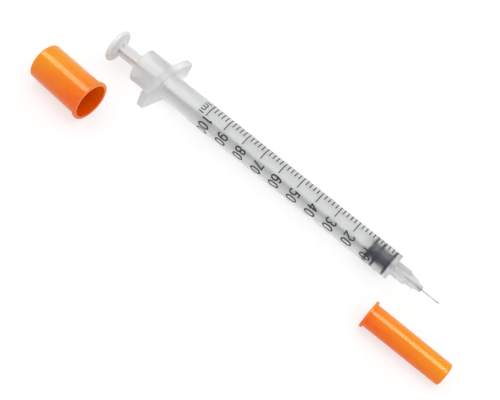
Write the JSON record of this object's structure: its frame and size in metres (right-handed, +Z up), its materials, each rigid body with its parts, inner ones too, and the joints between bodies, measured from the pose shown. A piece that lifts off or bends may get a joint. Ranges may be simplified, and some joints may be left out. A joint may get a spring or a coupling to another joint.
{
  "type": "fixed needle syringe",
  "caption": "Slim one-millilitre syringe with a fixed fine needle and sliding plunger, lying beside its orange needle shield and plunger cap.",
  "frame": {"origin": "on the surface the pieces lie on, below the middle of their common box", "axes": "+X along the syringe towards its needle, +Z up; the needle points 1.3 degrees down because the flange lifts the rear end"},
  "size_m": [0.1228, 0.0332, 0.011],
  "materials": {
    "clear_plastic": "gloss",
    "needle_steel": "polished",
    "clear_adhesive": "gloss",
    "stopper_rubber": "satin",
    "white_plastic": "satin",
    "orange_plastic": "gloss",
    "scale_ink": "matte"
  },
  "bodies": {
    "barrel": {"barrel": "clear_plastic", "needle": "needle_steel", "needle_adhesive": "clear_adhesive", "needle_shield": "orange_plastic", "plunger_cap": "orange_plastic"},
    "stopper": {"stopper": "stopper_rubber"},
    "plunger_rod": {"plunger_rod": "white_plastic"}
  },
  "joints": [
    {"name": "plunger_slide", "type": "slide", "parent": "barrel", "child": "stopper", "axis": [-0.9998, 0, 0.022], "range_m": [0, 0.0636]},
    {"name": "rod_twist", "type": "hinge", "parent": "stopper", "child": "plunger_rod", "pos_m": [0.03528, 0.00649, 0.00354], "axis": [0.9998, 0, -0.022], "continuous": true}
  ]
}
